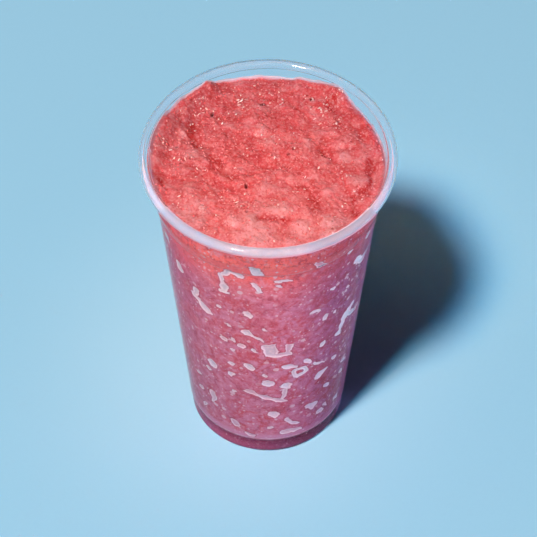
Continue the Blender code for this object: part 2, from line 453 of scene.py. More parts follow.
def paint_body(look, flat, fibres):
    """The pressed ice itself: mottled mauve and rose.

    Redder towards the collar: a painted glow of light shining down through the ice. Darker in the foot:
    partly a syrupy tone, partly painted shadow under the step, with painted light on its left and
    painted shade on its right. Painted light on the shoulder, painted shade on the right side and at
    the left edge, and a painted reflection along the right edge.
    """
    x, y, z = look.x, look.y, look.z
    swirls = look.noise(5.0, 5.0, 0.66, flat, Distortion=1.2)
    mottles = look.noise(3.2, 4.0, 0.6, flat, Distortion=0.6)
    look.blend(swirls, 0.42, 0.57, MAUVE)
    look.blend(look.noise(24.0, detail=2.0), 0.45, 0.62, MAUVE, 0.45)
    look.cover(x, -6.0, -32.0, DULL_MAUVE, 0.50)
    # Painted glow of light shining down through the ice into the collar
    look.cover(look.combine("MULTIPLY_ADD", swirls, 26.0 * MM, z), 119.0, 150.0, COLLAR_GLOW_RED, 0.94)
    look.blend(look.noise(11.0), 0.52, 0.62, ROSE, 0.55)
    look.blend(mottles, 0.48, 0.34, DEEP_ROSE, 0.50)
    look.blend(mottles, 0.52, 0.66, PINK_GRAIN, 0.40)
    look.blend(fibres, 0.47, 0.30, DEEP_ROSE, 0.40)
    look.blend(fibres, 0.52, 0.70, PINK_GRAIN, 0.40)
    look.paint(look.band(z, 9.5, 13.0, 1.5), LOW_HAZE)
    # Darker in the foot: partly a syrupy tone, partly painted shadow under the step
    foot = look.mix(look.over(z, 7.2, 3.0), FOOT_SHADOW, FOOT_ROSE)
    foot = look.mix(look.over(z, 2.6, 0.9, 0.0, 0.8), foot, FOOT_LILAC)
    # Painted light on the foot's left, painted shade on its right
    foot_light_and_shade = look.mix(look.over(x, -24.0, 24.0), FOOT_LIT_TINT, FOOT_SHADE_TINT)
    foot = look.mix(1.0, foot, foot_light_and_shade, "MULTIPLY")
    foot = look.mix(look.remap(fibres, 0.50, 0.66, 0.0, 0.30), foot, MAUVE)
    look.cover(z, 9.4, 8.4, foot, 0.90)
    # Painted shade on the right side
    look.tint(x, 2.0, 34.0, RIGHT_SHADE_TINT)
    # Painted reflection along the right edge
    limb_reflection = look.remap(look.combine("DIVIDE", x, look.from_axis()), 0.88, 0.99, 0.0, 0.80)
    look.paint(look.times(limb_reflection, look.over(y, 3.0, -5.0)), RIGHT_LIMB_REFLECTION)
    # Painted shade at the left edge
    look.tint(x, -21.0, -41.0, LEFT_SHADE_TINT)
    marks = look.remap(look.noise(1.9, roughness=0.65), 0.55, 0.66, 0.0, 0.8)
    look.paint(look.times(marks, look.over(z, 126.0, 132.0)), COLLAR_DARK)
    # Painted light on the shoulder, which faces down into shade
    shoulder = look.times(look.band(z, 129.5, 135.5, 0.8), 0.55)
    look.paint(look.times(shoulder, look.over(x, 32.0, 4.0)), SHOULDER_GLOW)


def paint_pockets(look):
    """Air trapped against the wall: cloudy inside, with a bright outline and a dark surround."""
    ragged = look.noise(1.3)
    distance = look.combine("MULTIPLY_ADD", ragged, 1.1, look.attribute("pocket_distance"))
    distance = look.combine("SUBTRACT", distance, 0.70)
    surround = look.times(look.remap(distance, 0.60, 0.15), look.remap(distance, -0.1, 0.1))
    look.paint(look.times(surround, 0.55), PLUM)
    deep = look.remap(distance, -0.35, -1.1, 0.0, 0.75)
    cloudy = look.mix(look.times(deep, look.remap(ragged, 0.36, 0.56)), FROST, DULL_FROST)
    cloudy = look.mix(look.over(look.x, 2.0, 26.0, 0.0, 0.8), cloudy, RIGHT_FROST)
    inside = look.remap(distance, 0.22, -0.20)
    look.paint(look.times(inside, look.attribute("pocket_tone")), cloudy)
    look.paint(look.times(look.band(distance, -0.55, -0.12, 0.15, 1.0), 0.8), BRIGHT_FROST)


def paint_specks(look, flat, fibres):
    """Painted highlights drawn as frost where the wall bends, and small bubbles and sparkles all over."""
    z = look.z
    # Painted highlights of the plastic's bends, drawn as frost in the ice
    bend_highlights = look.combine("MAXIMUM", look.band(z, 129.2, 129.55, 0.12), look.band(z, 9.6, 10.1, 0.2))
    look.paint(look.times(bend_highlights, look.remap(fibres, 0.35, 0.55, 0.15, 0.75)), FROST)
    small = look.specks(1.8, 0.72, 0.50, 0.20, flat)
    large = look.times(look.specks(3.4, 1.35, 0.40, 0.25), look.over(z, 135.0, 129.0, 0.3))
    sown = look.times(look.remap(look.noise(11.0), 0.60, 0.42, 0.25), look.over(z, 8.0, 14.0, 0.25, 0.75))
    look.paint(look.times(look.combine("MAXIMUM", small, large), sown), FROST)
    tiny = look.specks(1.35, 0.34, 0.60)
    look.paint(look.times(tiny, look.over(look.aside(), 2.0, 22.0, 0.40, 0.90)), BRIGHT_FROST)


def ice_side_material():
    """Crushed ice pressed against the wall: mauve, mottled, with frosty air pockets."""
    look = Look("pressed_ice", ROSE)
    flat = look.scaled((1.0, 1.0, 0.9))
    fibres = look.noise(1.3, 3.0, 0.7, flat)
    paint_body(look, flat, fibres)
    paint_pockets(look)
    paint_specks(look, flat, fibres)
    # Painted shade lower down, and more of it low on the right
    look.tint(look.z, 85.0, 25.0, LOW_SHADE_TINT)
    low_right_shade = look.times(look.over(look.x, 2.0, 20.0), look.over(look.z, 60.0, 30.0))
    look.colour = look.mix(low_right_shade, look.colour, LOW_RIGHT_SHADE_TINT, "MULTIPLY")
    look.tint(look.x, *POOL_SPAN, POOL_BALANCE)
    return look.finish(
        Roughness=0.5, IOR=1.1, Normal=look.bump(fibres, 0.5, 0.15), Subsurface_Weight=0.7,
        Subsurface_Radius=SIDE_SPREAD, Subsurface_Scale=4.0 * MM)


def frost_and_sheen_material():
    """White frost and painted sheen with a lilac cast; its pink where it lies low or faces the ice is
    a painted glow of the red ice's light through the rim.
    """
    look = Look("lilac_frost_and_sheen", RIM_PINK)
    look.blend(look.noise(3.0), 0.3, 0.7, RIM_PALE)
    look.cover(look.aside(), 8.0, 24.0, RIM_LILAC, 0.9)
    look.tint(look.x, 8.0, 24.0, RIM_RIGHT_TINT)
    middle, height = CURL_CENTRE
    # Painted glow of the red ice's light, low in the rim and on its inner side
    look.blend(look.z, height + 0.5 * MM, height - 0.7 * MM, RIM_LOW)
    look.blend(look.from_axis(), middle - 0.4 * MM, middle - 1.2 * MM, RIM_INNER)
    look.tint(look.x, *POOL_SPAN, POOL_BALANCE)
    return look.finish(
        RIM_FROST_AND_SHEEN_SHADE, Roughness=0.5, IOR=1.2, Subsurface_Weight=1.0,
        Subsurface_Radius=FROST_SPREAD, Subsurface_Scale=4.0 * MM)


def melt_material():
    """Thin melting ice on the wall: pink at its foot and nearly clear at its upper edge."""
    look = Look("melting_ice", MELT_PINK)
    stray = look.remap(look.noise(1.6), 0.3, 0.7, -0.2, 0.2)
    look.blend(look.combine("ADD", look.attribute("fade"), stray), 0.05, 0.85, MELT_CLEAR)
    look.tint(look.x, 0.0, 28.0, MELT_RIGHT_TINT)
    return look.finish(MELT_SHADE, Roughness=0.25, IOR=1.15, Transmission_Weight=0.6)


def crystal_material(name, colour, second, roughness):
    """Small bits of ice, each a little different in tone."""
    look = Look(name, colour)
    look.blend(look.noise(2.2), 0.35, 0.65, second)
    return look.finish(Roughness=roughness, IOR=1.31)


def floor_material():
    """Matt pale blue paper with a very faint tooth."""
    look = Look("pale_floor", FLOOR_BLUES[0])
    look.paint(look.noise(1.5, detail=2.0), FLOOR_BLUES[1])
    return look.finish(Roughness=0.85)


# The cup's profile

def panel(radius, floor):
    """Height of the slightly domed bottom panel, whose centre lies highest."""
    share = radius / PANEL_EDGE[0]
    return floor + PANEL_RISE + (PANEL_EDGE[1] - PANEL_RISE) * share * share


def arc(halves, start, end):
    """Points of an elliptic arc round the middle of the rim's curl, both ends included."""
    angles = [start + (end - start) * step / CURL_STEPS for step in range(CURL_STEPS + 1)]
    middle, height = CURL_CENTRE
    return [(middle + halves[0] * math.cos(a), height + halves[1] * math.sin(a)) for a in angles]


def rounded(points):
    """The same outline with each inner corner replaced by a short curve."""
    result = [points[0]]
    for before, corner, after in zip(points, points[1:], points[2:]):
        before, corner, after = Vector(before), Vector(corner), Vector(after)
        first, second = before - corner, after - corner
        start = corner + first * min(CORNER_ROUND / first.length, 0.45)
        end = corner + second * min(CORNER_ROUND / second.length, 0.45)
        for step in range(CORNER_STEPS + 1):
            t = step / CORNER_STEPS
            point = start * (1 - t) ** 2 + corner * 2 * t * (1 - t) + end * t * t
            result.append((point.x, point.y))
    result.append(points[-1])
    return result


def outside_wall():
    """Underside centre to the top of the collar, along the outside of the wall."""
    points = [(0.0, panel(0.0, 0.0)), (PANEL_MIDWAY, panel(PANEL_MIDWAY, 0.0)), PANEL_EDGE]
    points += [(RING_INNER - RING_ROUND[0], RING_ROUND[1]), (RING_INNER, 0.0)]
    points += [(RING_OUTER, 0.0), (RING_OUTER + RING_ROUND[0], RING_ROUND[1])]
    points += [FOOT_LOW, FOOT_TOP, BODY_FOOT, BODY_ROUND, TAPER_FOOT]
    points += [TAPER_TOP, SHOULDER_FOOT, COLLAR_FOOT]
    return points


def hollow(gap):
    """The cup's hollow from the collar's foot to the middle of the floor, less a gap."""
    inset = WALL + gap
    lift = STEP_LIFT + gap
    floor = FLOOR_WALL + gap
    points = [(r - inset, z) for r, z in (COLLAR_FOOT, SHOULDER_FOOT, TAPER_TOP, TAPER_FOOT)]
    points += [(r - inset, z + lift) for r, z in (BODY_FOOT, FOOT_TOP, FOOT_LOW)]
    points += [(RING_OUTER - RING_INSET - gap, floor), (RING_INNER + RING_INSET + gap, floor)]
    points += [(PANEL_EDGE[0] + gap, PANEL_EDGE[1] + floor)]
    points += [(r, panel(r, floor)) for r in (PANEL_MIDWAY, 0.0)]
    return points


def collar_inside(z):
    """Inside radius of the collar at a height."""
    top_r = RIM_RADIUS - 2 * CURL_HALF_WIDTH
    slope = (top_r - COLLAR_FOOT[0] + WALL) / (CUP_HEIGHT - CURL_HALF_HEIGHT - COLLAR_FOOT[1])
    return COLLAR_FOOT[0] - WALL + slope * (z - COLLAR_FOOT[1])


def cup(material, rim_material):
    """The clear cup with its rolled rim, as one closed turned wall."""
    inner_arc = arc((CURL_HALF_WIDTH - WALL, CURL_HALF_HEIGHT - WALL), math.pi, CURL_END)
    outer_arc = arc((CURL_HALF_WIDTH, CURL_HALF_HEIGHT), CURL_END, math.pi)
    profile = rounded(outside_wall() + inner_arc[:1])[:-1] + inner_arc + outer_arc[:-1]
    profile += rounded(outer_arc[-1:] + hollow(0.0))
    points, rings = [], []
    for r, z in profile:
        count = CUP_SEGMENTS if r else 1
        rings.append(range(len(points), len(points) + count))
        angles = [math.tau * k / count for k in range(count)]
        points += [(r * math.cos(a), r * math.sin(a), z) for a in angles]
    item = mesh_object("clear_cup", points, skin(rings, rising=False), material)
    item.data.materials.append(rim_material)
    for polygon in item.data.polygons:
        middle = polygon.center
        beyond = middle.xy.length > RIM_SEEN_RADIUS
        polygon.material_index = int(middle.z >= RIM_SEEN_HEIGHT and beyond)
    return item


def rim_frost_and_sheen(material):
    """Frost and painted sheen inside the rolled rim, thickest at the front and gone at the back."""
    points = []
    full, none = RIM_FROST_AND_SHEEN_FADE
    for k in range(CUP_SEGMENTS + 1):
        away = -1.0 + 2.0 * k / CUP_SEGMENTS
        turn = away * none
        share = max(0.02, 1.0 - float(smoothstep((abs(turn) - full) / (none - full))))
        angle = turn - math.pi / 2
        for j in range(RIM_FROST_AND_SHEEN_SIDES):
            spin = math.tau * j / RIM_FROST_AND_SHEEN_SIDES
            r = CURL_CENTRE[0] + share * RIM_FROST_AND_SHEEN[0] * math.cos(spin)
            z = CURL_CENTRE[1] + share * RIM_FROST_AND_SHEEN[1] * math.sin(spin)
            points.append((r * math.cos(angle), r * math.sin(angle), z))
    rings = rings_from(0, RIM_FROST_AND_SHEEN_SIDES, CUP_SEGMENTS + 1)
    faces = skin(rings) + [tuple(rings[0]), tuple(reversed(rings[-1]))]
    return mesh_object("rim_frost_and_sheen", points, faces, material)


# Air pockets between the ice and the wall

# Strokes: direction and height of both ends in degrees and millimetres, half width where they
# start, whiteness; they narrow towards their ends
STROKES = (
    (-104, 127.3, -109.5, 129.2, 1.3, 1), (-109.5, 129.2, -114.5, 124.5, 1.7, 1),
    (-114.5, 124.5, -113.3, 119, 1.2, 1), (-113.6, 118, -114.4, 113.8, 1.7, 1),
    (-115.8, 113.4, -111.9, 113.4, 1.2, 1), (-97.5, 123, -93, 118.3, 1.5, 1),
    (-85, 125.2, -77, 124, 0.8, 1), (-84.5, 121.8, -82.5, 121.4, 0.8, 1), (-35, 116, -28, 110.5, 1.9, 1),
    (-30, 111, -19, 113, 1.7, 0.9), (-132, 105, -134.8, 100, 1.3, 0.8), (-134.8, 100, -130, 97, 1.4, 0.9),
    (-129, 96.5, -123.5, 93.6, 2.1, 1), (-145.6, 111.5, -145, 110, 1.8, 0.9),
    (-100.6, 101.6, -99.6, 99.6, 1.8, 1), (-118.2, 101.3, -117.4, 101.1, 0.9, 0.9),
    (-102.5, 88.8, -99, 87.2, 1.9, 1), (-98.5, 86.5, -92, 83, 0.7, 0.8), (-112.8, 90.4, -110.8, 90, 1, 0.9),
    (-112, 74, -110.4, 74, 1, 0.9), (-98.6, 76.2, -97.2, 75.4, 1.2, 0.9),
    (-105.6, 78.6, -104.4, 78.2, 1.2, 0.7), (-110.4, 81.5, -110.2, 79.8, 0.8, 0.7),
    (-116.8, 80, -115.6, 79.5, 1.1, 0.7), (-101, 64.6, -100.2, 63.8, 1.6, 1),
    (-112.9, 63.6, -112, 63.2, 1.1, 0.9), (-79.5, 64.2, -71, 62.6, 1.3, 1), (-65, 65.2, -63, 62, 1, 0.9),
    (-58.8, 60, -52.5, 57, 0.8, 1), (-55.3, 48.6, -49, 50.6, 2, 1), (-90.2, 52.8, -88.6, 52.2, 1.9, 1),
    (-78.2, 50.6, -76.8, 48.2, 2.3, 1), (-78.2, 46.5, -80, 40.5, 1.1, 0.7),
    (-103.5, 45.3, -94, 43.4, 1.5, 0.65), (-94, 42.6, -86, 39.9, 1.4, 0.65),
    (-86, 39.9, -77, 38.6, 1.5, 0.75), (-85.6, 28.9, -84.4, 28.4, 1.8, 1),
    (-129.8, 34, -131.8, 26.5, 1.5, 0.8), (-60, 29, -57, 28.6, 1.9, 1), (-57.6, 27, -57, 25, 0.8, 0.8),
    (-76, 24, -73, 20.6, 1.3, 1), (-73, 20.6, -66, 18.8, 1, 0.9), (-79, 14.6, -65, 13.6, 1.8, 0.7),
    (-87.8, 18.4, -85.8, 18, 1.1, 0.9), (-114.2, 18.8, -112.8, 17.4, 1.8, 0.6),
    (-141.5, 19.2, -138, 20.4, 1.4, 0.8), (-38, 80, -31, 84.5, 2.7, 1), (-38.5, 79, -42.5, 71.8, 1.5, 1),
    (-42.8, 72.5, -41, 70.5, 1.7, 1), (-33, 79, -25, 75, 1.5, 0.9), (-27, 77.5, -21, 76.5, 1.3, 0.9),
    (-55.4, 91, -54.4, 89.4, 1.2, 0.9), (-47.4, 90.4, -46.4, 89.8, 0.9, 0.9),
    (-64.5, 99, -60, 98, 0.8, 0.9), (-52.2, 108.8, -50, 108.2, 1, 0.9), (-41, 101.8, -39, 101.2, 0.8, 0.9),
    (-43.8, 127.3, -41.8, 126.7, 0.9, 0.9), (-27.5, 124.6, -24.5, 123.4, 1.1, 0.9),
    (-55.4, 71.8, -53.8, 73.4, 1.2, 0.9), (-43.4, 56.2, -42.4, 54.8, 1.5, 0.9),
    (-31.5, 45.5, -27, 42.5, 0.9, 0.8), (-127.8, 56.8, -126.2, 55.4, 1.8, 1),
    (-113.4, 55.2, -112.6, 54.8, 1.1, 0.9), (-131.6, 51.4, -130.4, 50.6, 1.1, 0.8),
    (-142.5, 40.2, -138.5, 41.6, 1, 0.8), (-112.8, 43.2, -111.2, 42.8, 0.9, 0.9),
    (-141.6, 30.2, -140.2, 30.8, 1.2, 0.7), (-46.3, 37.8, -45, 37.2, 1.1, 0.8),
    (-31.4, 38, -29.8, 37, 1.2, 0.8), (-45.6, 23, -44.2, 21.8, 1.2, 0.8),
    (-50, 20.4, -48.8, 19.8, 1.1, 0.8), (-32, 19.8, -29.2, 18, 1.5, 0.8),
    (-157, 121.2, -155, 119.8, 1.8, 0.8), (-103.2, 12.8, -101.8, 12.2, 1.4, 0.5),
    (-92.8, 91.6, -91.4, 91.4, 0.8, 0.8), (-85.8, 66.2, -84.6, 66, 0.6, 0.9),
    (-92.4, 58, -92, 57.6, 0.8, 0.8),
)
# Squarish pockets: direction and height of the middle, half width and height, lean, whiteness
SQUARES = (
    (-95.2, 132.6, 1.9, 2.9, 0.2, 1), (-62.8, 131, 1.9, 2.2, 0.5, 0.35), (-88.2, 76.5, 2.9, 4.4, 0.12, 0.8),
    (-81, 73.2, 3.4, 1.7, 0.15, 0.75), (-77.6, 76.6, 1.2, 3.4, -0.15, 0.55),
)
# Rings of air round a grain of ice: direction and height, radius, half width, whiteness
LOOPS = ((-69.6, 57.6, 2.7, 1, 1),)

# Seeded pockets: how many, and the directions that are left to the pockets above
SCATTER_SEED = 11
SCATTER_COUNT = 170
FRONT_CENTRE = -87.0
FRONT_SPAN = 72.0

# How deep a pocket is and over how many millimetres it gets so; how wide a stroke is at its
# ends and where it is widest; sizes and reaches of the noises that bend the outlines
POCKET_DEPTH = 0.45 * MM
POCKET_SLOPE = 0.9
START_WIDTH = 0.80
END_WIDTH = 0.38
WIDEST = 0.3
WARPS = ((4.0 * MM, 1.3), (1.6 * MM, 0.45))
# The pocket distance where no pocket is near, in millimetres
FAR = 9.0


def body_radius(z_mm):
    """Rough outside radius of the body in millimetres at a height in millimetres."""
    share = (z_mm - TAPER_FOOT[1] / MM) / ((TAPER_TOP[1] - TAPER_FOOT[1]) / MM)
    return TAPER_FOOT[0] / MM + share * (TAPER_TOP[0] - TAPER_FOOT[0]) / MM


def scattered_strokes():
    """Seeded pockets all round, few where the named ones already lie."""
    draw = random.Random(SCATTER_SEED)
    strokes = []
    while len(strokes) < SCATTER_COUNT:
        direction = draw.uniform(-180.0, 180.0)
        z = draw.uniform(11.0, 131.0)
        if abs((direction - FRONT_CENTRE + 180.0) % 360.0 - 180.0) < FRONT_SPAN:
            continue
        size = 0.5 + 1.9 * draw.random() ** 3.2
        reach = size * draw.uniform(0.2, 2.6) * (1.0 if draw.random() < 0.3 else 0.4)
        turn = draw.uniform(0.0, math.pi)
        run = math.degrees(reach * math.cos(turn) / body_radius(z))
        rise = reach * math.sin(turn)
        tone = draw.uniform(0.6, 1.0)
        strokes.append((direction - run, z - rise, direction + run, z + rise, size, tone))
        if size > 1.4 and draw.random() < 0.6:
            lean = draw.uniform(-6.0, 6.0)
            strokes.append((direction + run, z + rise, direction + run + lean,
                            z + rise + draw.uniform(-7.0, 7.0), 0.6 * size, tone))
    return strokes


def pocket_distance(direction, z):
    """Signed distance in millimetres to the nearest pocket's outline, and its whiteness.

    direction is in degrees and z in millimetres; both are arrays.
    """
    nearest = np.full(direction.shape, FAR)
    tone = np.zeros(direction.shape)

    def keep(distance, whiteness):
        closer = distance < nearest
        nearest[closer] = distance[closer]
        tone[closer] = whiteness

    def offsets(middle_direction, middle_z):
        turn = (direction - middle_direction + 180.0) % 360.0 - 180.0
        return np.radians(turn) * body_radius(middle_z), z - middle_z

    for d0, z0, d1, z1, half, whiteness in list(STROKES) + scattered_strokes():
        u, v = offsets(d0, z0)
        run = math.radians(d1 - d0) * body_radius(z0)
        rise = z1 - z0
        share = np.clip((u * run + v * rise) / (run * run + rise * rise + 1e-9), 0.0, 1.0)
        width = np.interp(share, (0.0, WIDEST, 1.0), (START_WIDTH, 1.0, END_WIDTH))
        width = width if math.hypot(run, rise) > half else 1.0
        keep(np.hypot(u - run * share, v - rise * share) - half * width, whiteness)
    for middle, height, half_u, half_v, lean, whiteness in SQUARES:
        u, v = offsets(middle, height)
        u = np.abs(u + lean * v) - half_u
        v = np.abs(v) - half_v
        outside = np.hypot(np.maximum(u, 0.0), np.maximum(v, 0.0))
        keep(outside + np.minimum(np.maximum(u, v), 0.0), whiteness)
    for middle, height, radius, half, whiteness in LOOPS:
        u, v = offsets(middle, height)
        keep(np.abs(np.hypot(u, v) - radius) - half, whiteness)
    return nearest, tone


def dent(points):
    """For points on the ice's side: depth of the dents, pocket distance and whiteness."""
    direction = np.degrees(np.arctan2(points[:, 1], points[:, 0]))
    z = points[:, 2] / MM
    radius = np.hypot(points[:, 0], points[:, 1]) / MM
    sideways = sum(noise_field(points, size, 3.0) * reach for size, reach in WARPS)
    upwards = sum(noise_field(points, size, 8.0) * reach for size, reach in WARPS)
    distance, tone = pocket_distance(direction + np.degrees(sideways / radius), z + upwards)
    depth = POCKET_DEPTH * smoothstep(-distance / POCKET_SLOPE)
    return depth, distance, tone


# The ice

def columns():
    """Directions of the side's columns: close together at the front, wider at the back."""
    angles = []
    angle = -math.pi / 2
    while angle < 1.5 * math.pi - 0.5 * FRONT_COLUMN:
        angles.append(angle)
        away = abs((angle + math.pi / 2 + math.pi) % math.tau - math.pi)
        share = float(smoothstep((away - FRONT_HALF_ANGLE) / COLUMN_EASE))
        angle += FRONT_COLUMN + (BACK_COLUMN - FRONT_COLUMN) * share
    return np.array(angles)


def spaced(profile):
    """Points along a profile, closer together on the wall than under the ice."""
    result = []
    for (r0, z0), (r1, z1) in zip(profile, profile[1:]):
        length = math.hypot(r1 - r0, z1 - z0)
        row = SIDE_ROW if abs(z1 - z0) > abs(r1 - r0) else FLOOR_ROW
        steps = max(1, round(length / row))
        result += [(r0 + (r1 - r0) * k / steps, z0 + (z1 - z0) * k / steps) for k in range(steps)]
    return result + [profile[-1]]


def ice_below(material):
    """The pressed ice below the collar: its side with real dents, its floor and a flat cap."""
    angles = columns()
    count = len(angles)
    *rows, middle = spaced(rounded(hollow(-INTO_WALL)))
    radii, heights = np.array(rows).T
    grid = np.empty((len(rows), count, 3))
    grid[..., :2] = radii[:, None, None] * np.stack([np.cos(angles), np.sin(angles)], -1)[None]
    grid[..., 2] = heights[:, None]
    points = grid.reshape(-1, 3)
    depth, distance, tone = dent(points)
    radius = np.hypot(points[:, 0], points[:, 1])
    on_side = smoothstep((points[:, 2] - DENTS_FROM) / DENTS_EASE)
    swell = SIDE_SWELL * noise_field(points, 3.0 * MM, 21.0)
    pull = (radius + (swell - depth) * on_side) / radius
    points[:, :2] *= pull[:, None]
    distance = np.where(on_side > 0.5, distance, FAR)
    rings = rings_from(0, count, len(rows)) + [[len(points)]]
    faces = skin(rings) + [tuple(rings[0])]
    points = np.vstack([points, [(0.0, 0.0, middle[1])]])
    item = mesh_object("ice_below", points.tolist(), faces, material)
    item.data.set_sharp_from_angle(angle=math.radians(75))
    store(item, "pocket_distance", np.append(distance, FAR))
    store(item, "pocket_tone", np.append(tone, 0.0))
    return item


# Cracks of the top in millimetres: from x, y to x, y, then the half width and the depth
CRACKS = (
    (-29.5, 21, -28.5, 12, 1.3, 0.9), (-29.2, 13, -27, 8.5, 0.7, 1.2), (-27, 8.5, -22, 7.5, 0.6, 0.9),
    (-22, 4, -17, -2, 1.1, 0.8), (-18, -2, -14, -7, 1, 0.7), (-17, 5, -8, 3, 0.7, 0.5),
    (-7, -1.5, 0, -2.8, 0.5, 0.7), (0, -2.8, 9, -2.6, 0.5, 0.7), (-33, 2, -29.5, 1.4, 0.5, 0.8),
    (-4, -27.6, 3, -28.2, 0.9, 0.8), (5, -27.2, 8.5, -27.8, 0.9, 0.8), (20, 12.5, 21, 6, 0.6, 0.9),
    (21.5, 5, 24, -4, 0.6, 0.8), (26, 22, 27, 19, 0.9, 0.9), (10, 29, 12, 26, 0.7, 0.7),
    (1, 17, 5, 19, 0.7, 0.5), (38.6, 0, 37.6, -8, 0.9, 1.6), (37.6, -9, 36, -13, 0.8, 1.3),
    (36, -13.5, 30, -16, 0.7, 0.9), (31.5, -18, 32.5, -27, 0.8, 0.8), (16, -14, 17.5, -24, 0.9, 0.6),
    (11, -11, 16, -13, 0.7, 0.5), (-40, -9, -39, -12, 0.7, 0.9), (-13, 22, -12, 24, 0.8, 0.8),
    (24, 32, 25, 26, 1.2, 0.8),
)
# Small holes, painted dark inside as their shade: x, y, radius and depth in millimetres
HOLES = (
    (-2.2, 29.6, 1.15, 2.6), (17.1, 32.7, 0.95, 1.6), (-8.5, -11.8, 0.9, 1.5), (-24.1, 39, 0.6, 0.9),
    (-21.4, 24.8, 0.9, 1.2), (26.8, 21.5, 0.65, 0.8), (8, 4.3, 0.75, 0.8), (9.8, 7, 0.6, 0.7),
    (-34.3, 7.7, 0.6, 0.7), (-29.7, 1.6, 0.5, 0.6), (-8, -24.2, 0.6, 0.6), (6, -26, 0.5, 0.5),
)
CRACK_DEPTH = 0.15
# How many millimetres noise shifts the places of the grains and patches, and those of the cracks
WARP = 0.9
CRACK_STRAY = 2.2
# The lit side of a crack stands higher: how much, how far it reaches and how wide its step is
LIP_HEIGHT = 0.45
LIP_REACH = 7.0
LIP_STEP = 4.0
# Soft patches of the top in millimetres: x, y, radius and strength, syrupy ones above 0
PATCHES = (
    (-28, 17, 5, 0.5), (-27, 10, 3.5, 0.9), (-24, 4.5, 3, 0.6), (-19, -1, 3.5, 0.7), (-14, -6, 3, 0.6),
    (-10, 32, 3.5, 0.6), (-13, 24, 3, 0.4), (-4, 5, 6, 0.4), (2, 17, 2.5, 0.6), (11, 27, 2.5, 0.6),
    (25, 31, 4.5, 0.7), (30, 26, 4, 0.5), (26, 19, 3, 0.6), (36, 16, 4.5, 0.8), (34, 11, 3, 0.7),
    (41, 0, 4, 0.8), (40, -10, 4, 0.6), (35, -15, 4, 0.6), (32, -25, 3, 0.6), (16, -20, 5, 0.5),
    (13, -13, 2.5, 0.5), (0, -28, 4, 0.6), (6.5, -28, 2.5, 0.6), (-12, -8, 3, 0.4), (-40, -8, 4, 0.5),
    (-36, -19, 4, 0.4), (-30, 26, 6, 0.4), (-20, 21, 4, 0.4), (-17, 13, 4, 0.4), (20.5, 4, 3, 0.5),
    (-20, 36, 6, 0.35), (0, 40, 8, 0.2), (28, 36, 5, 0.5), (-37, 17, 5, 0.3), (-28.5, 4.5, 4, -0.8),
    (-24, 3, 2.5, -0.7), (-32, -8, 7, -0.4), (-28, -23, 6, -0.4), (-5, -36, 8, -0.5), (20, -35, 9, -0.5),
    (-1, 10, 5, -0.4), (12, 6, 5, -0.4), (15, 13, 4, -0.4), (30, 0, 5, -0.4), (33, -8, 4.5, -0.6),
    (37, 8, 3.5, -0.5), (24, -12, 5, -0.3), (2, -14, 6, -0.4), (27, -18, 6, -0.3), (-11, 22, 3, -0.4),
    (18, 33, 4, -0.4), (-2, 23, 4, -0.3), (-5, 31, 3, -0.4), (-12, 6, 3, -0.4), (8, -34, 6, -0.3),
    (-20, 16, 2.5, -0.3),
)
# Where glints gather on the top in millimetres: x, y, radius and strength
GLINT_CLUSTERS = (
    (-41, 9, 4, 3), (-25, 28, 4, 3), (-21, 25, 2, 2), (-34, 24, 4, 1.5), (-11, 31, 4, 3), (-8, 27, 2, 4),
    (-17, 22, 4, 2), (-3, 36, 6, 2), (3, 31, 5, 2), (15, 33, 2, 4), (20, 27, 5, 2.5), (25, 23, 4, 2),
    (27, 34, 4, 1.5), (-4, 13, 3, 2), (0, 11, 5, 1.5), (32, 10, 2, 3), (2, 2, 3, 2), (-9, 5, 2, 3),
    (28, 17, 4, 1.5), (3, -20, 3, 3), (-8, -20, 5, 3), (-24, -23, 3, 2.5), (-33, -20, 3, 2.5),
    (-21, -15, 4, 2), (-9, -10, 2, 3), (-34, 0, 4, 1.5), (24, -30, 6, 1.5), (9, 8, 2, 3), (-31, 2, 3, 2),
    (-43, 5, 2, 3),
)
# How far a patch and a cluster are full, as a share of their radius
PATCH_CORE = 0.35
CLUSTER_CORE = 0.2
SWELL_SIZE = 10.0 * MM
SWELL_HEIGHT = 0.9 * MM
# Crumbs from coarse to fine: size and height in millimetres
CRUMBS = ((6.0, 0.50), (3.2, 0.25), (1.7, 0.10))
CREASE = 0.32
GRAIN_SIZE = 1.5 * MM
GRAIN_HEIGHT = 0.05 * MM
GRAIN_EDGE = 0.8
EDGE_LUMP = 0.5 * MM
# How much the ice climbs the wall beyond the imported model: direction in degrees, millimetres
EDGE_LIFTS = (
    (-180, 2.5), (-150, 0.8), (-120, 0.4), (-20, 0.4), (0, 0.1), (6, -0.4), (16, 1.1), (25, 2.6), (34, 2.7),
    (42, 0.6), (46, 0.8), (49, 2.8), (52, 3.5), (55, 2.9), (60, 1.9), (67, 0.3), (70, 0.6), (74, 0.6),
    (78, -0.3), (84, -0.8), (90, -1), (96, -0.8), (102, 0.4), (110, 0.2), (117, 1.1), (122, 4.2),
    (127, 3.6), (133, 3.9), (139, 4.4), (143, 3.6), (148, 3), (153, 5), (160, 5.2), (170, 5), (175, 4),
    (180, 2.5),
)
EDGE_LIFT_REACH = 9.0 * MM
EDGE_LIMIT = 147.9 * MM


